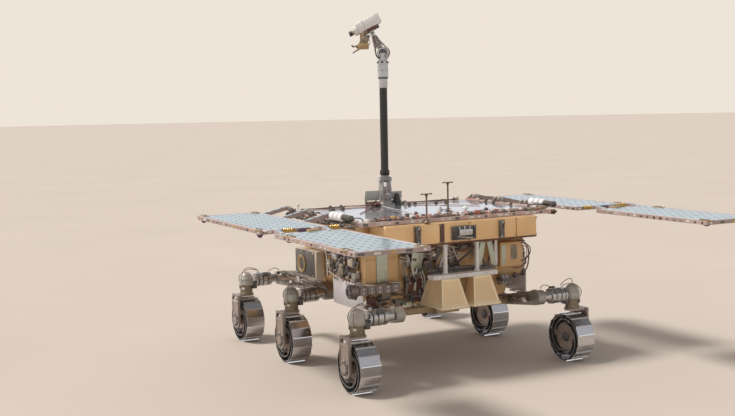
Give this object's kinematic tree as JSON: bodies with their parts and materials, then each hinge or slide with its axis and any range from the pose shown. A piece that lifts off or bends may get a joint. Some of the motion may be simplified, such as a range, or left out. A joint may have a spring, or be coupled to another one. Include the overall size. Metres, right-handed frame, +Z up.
{
  "type": "six-wheeled planetary rover",
  "caption": "Planetary rover with flexible metal wheels on bogies, a boxed body, folding solar wings and a camera mast.",
  "frame": {"origin": "on the ground under the middle of the overall length and width", "axes": "+X forward to the mast end, +Y to the rover's left, +Z up"},
  "size_m": [2.6342, 2.39, 2.071],
  "materials": {
    "blanket_gold": "satin foil blanket",
    "deck_cells": "glossy cell glass",
    "wing_cells": "glossy cell glass",
    "dark_metal": "matt",
    "grey_metal": "satin",
    "fork_metal": "satin",
    "actuator_metal": "satin",
    "wheel_steel": "brushed",
    "horn_tan": "matt",
    "white_paint": "satin",
    "black_carbon": "woven satin"
  },
  "bodies": {
    "chassis": {"body_tub": "blanket_gold", "deck_panel": "deck_cells", "service_box": "blanket_gold", "hold_down_brackets": "dark_metal", "rear_mechanism": "grey_metal", "drill_box": "blanket_gold", "radar_horn_left": "horn_tan", "radar_horn_right": "horn_tan", "antenna_bar": "white_paint", "rear_wall_panel": "blanket_gold", "rear_electronics_box": "blanket_gold", "side_instrument_box": "dark_metal", "radiator_plate_left": "white_paint", "radiator_plate_right": "white_paint", "lock_strut": "grey_metal", "rear_bogie_beam": "horn_tan", "mast_base": "grey_metal", "mast_foot_boxes": "dark_metal", "deck_aerials": "dark_metal", "deck_domes": "white_paint", "side_bogie_left": "grey_metal", "rear_bogie_arm_left": "grey_metal", "wing_hinge_left": "grey_metal", "wing_actuator_left": "white_paint", "side_bogie_right": "grey_metal", "rear_bogie_arm_right": "grey_metal", "wing_hinge_right": "grey_metal", "wing_actuator_right": "white_paint", "leg_actuators_front_left": "actuator_metal", "leg_actuators_front_right": "actuator_metal", "leg_actuators_middle_left": "actuator_metal", "leg_actuators_middle_right": "actuator_metal", "leg_actuators_rear_left": "actuator_metal", "leg_actuators_rear_right": "actuator_metal"},
    "steering_front_left": {"steering_fork_front_left": "fork_metal"},
    "rolling_front_left": {"wheel_front_left": "wheel_steel"},
    "steering_front_right": {"steering_fork_front_right": "fork_metal"},
    "rolling_front_right": {"wheel_front_right": "wheel_steel"},
    "steering_middle_left": {"steering_fork_middle_left": "fork_metal"},
    "rolling_middle_left": {"wheel_middle_left": "wheel_steel"},
    "steering_middle_right": {"steering_fork_middle_right": "fork_metal"},
    "rolling_middle_right": {"wheel_middle_right": "wheel_steel"},
    "steering_rear_left": {"steering_fork_rear_left": "fork_metal"},
    "rolling_rear_left": {"wheel_rear_left": "wheel_steel"},
    "steering_rear_right": {"steering_fork_rear_right": "fork_metal"},
    "rolling_rear_right": {"wheel_rear_right": "wheel_steel"},
    "wing_left": {"solar_wing_left": "wing_cells"},
    "tail_left": {"solar_tail_left": "wing_cells"},
    "wing_right": {"solar_wing_right": "wing_cells"},
    "tail_right": {"solar_tail_right": "wing_cells"},
    "mast": {"mast_tube": "black_carbon"},
    "pan_unit": {"pan_neck": "grey_metal"},
    "camera_unit": {"camera_head": "white_paint", "mast_instrument": "horn_tan"}
  },
  "joints": [
    {"name": "steer_front_left", "type": "hinge", "parent": "chassis", "child": "steering_front_left", "pos_m": [1.17695, 0.702, 0.1401], "axis": [0, 0, 1], "range_deg": [-50, 50]},
    {"name": "roll_front_left", "type": "hinge", "parent": "steering_front_left", "child": "rolling_front_left", "pos_m": [1.17695, 0.702, 0.1401], "axis": [0, 1, 0], "continuous": true},
    {"name": "steer_front_right", "type": "hinge", "parent": "chassis", "child": "steering_front_right", "pos_m": [1.17695, -0.702, 0.1401], "axis": [0, 0, 1], "range_deg": [-50, 50]},
    {"name": "roll_front_right", "type": "hinge", "parent": "steering_front_right", "child": "rolling_front_right", "pos_m": [1.17695, -0.702, 0.1401], "axis": [0, 1, 0], "continuous": true},
    {"name": "steer_middle_left", "type": "hinge", "parent": "chassis", "child": "steering_middle_left", "pos_m": [0.45795, 0.702, 0.1401], "axis": [0, 0, 1], "range_deg": [-50, 50]},
    {"name": "roll_middle_left", "type": "hinge", "parent": "steering_middle_left", "child": "rolling_middle_left", "pos_m": [0.45795, 0.702, 0.1401], "axis": [0, 1, 0], "continuous": true},
    {"name": "steer_middle_right", "type": "hinge", "parent": "chassis", "child": "steering_middle_right", "pos_m": [0.45795, -0.702, 0.1401], "axis": [0, 0, 1], "range_deg": [-50, 50]},
    {"name": "roll_middle_right", "type": "hinge", "parent": "steering_middle_right", "child": "rolling_middle_right", "pos_m": [0.45795, -0.702, 0.1401], "axis": [0, 1, 0], "continuous": true},
    {"name": "steer_rear_left", "type": "hinge", "parent": "chassis", "child": "steering_rear_left", "pos_m": [-0.38405, 0.702, 0.1401], "axis": [0, 0, 1], "range_deg": [-50, 50]},
    {"name": "roll_rear_left", "type": "hinge", "parent": "steering_rear_left", "child": "rolling_rear_left", "pos_m": [-0.38405, 0.702, 0.1401], "axis": [0, 1, 0], "continuous": true},
    {"name": "steer_rear_right", "type": "hinge", "parent": "chassis", "child": "steering_rear_right", "pos_m": [-0.38405, -0.702, 0.1401], "axis": [0, 0, 1], "range_deg": [-50, 50]},
    {"name": "roll_rear_right", "type": "hinge", "parent": "steering_rear_right", "child": "rolling_rear_right", "pos_m": [-0.38405, -0.702, 0.1401], "axis": [0, 1, 0], "continuous": true},
    {"name": "wing_fold_left", "type": "hinge", "parent": "chassis", "child": "wing_left", "pos_m": [0.24295, 0.67, 0.9075], "axis": [1, 0, 0], "range_deg": [0, 180]},
    {"name": "tail_fold_left", "type": "hinge", "parent": "wing_left", "child": "tail_left", "pos_m": [-0.37705, 0.99, 0.886], "axis": [0, 1, 0], "range_deg": [0, 180]},
    {"name": "wing_fold_right", "type": "hinge", "parent": "chassis", "child": "wing_right", "pos_m": [0.24295, -0.67, 0.9075], "axis": [-1, 0, 0], "range_deg": [0, 180]},
    {"name": "tail_fold_right", "type": "hinge", "parent": "wing_right", "child": "tail_right", "pos_m": [-0.37705, -0.99, 0.886], "axis": [0, 1, 0], "range_deg": [0, 180]},
    {"name": "mast_fold", "type": "hinge", "parent": "chassis", "child": "mast", "pos_m": [0.56795, 0, 1.045], "axis": [0, -1, 0], "range_deg": [0, 90]},
    {"name": "mast_pan", "type": "hinge", "parent": "mast", "child": "pan_unit", "pos_m": [0.56795, 0, 1.79], "axis": [0, 0, 1], "range_deg": [-180, 180]},
    {"name": "mast_tilt", "type": "hinge", "parent": "pan_unit", "child": "camera_unit", "pos_m": [0.59659, 0.05386, 1.95], "axis": [0.8829, -0.4695, 0], "range_deg": [-60, 87]}
  ]
}
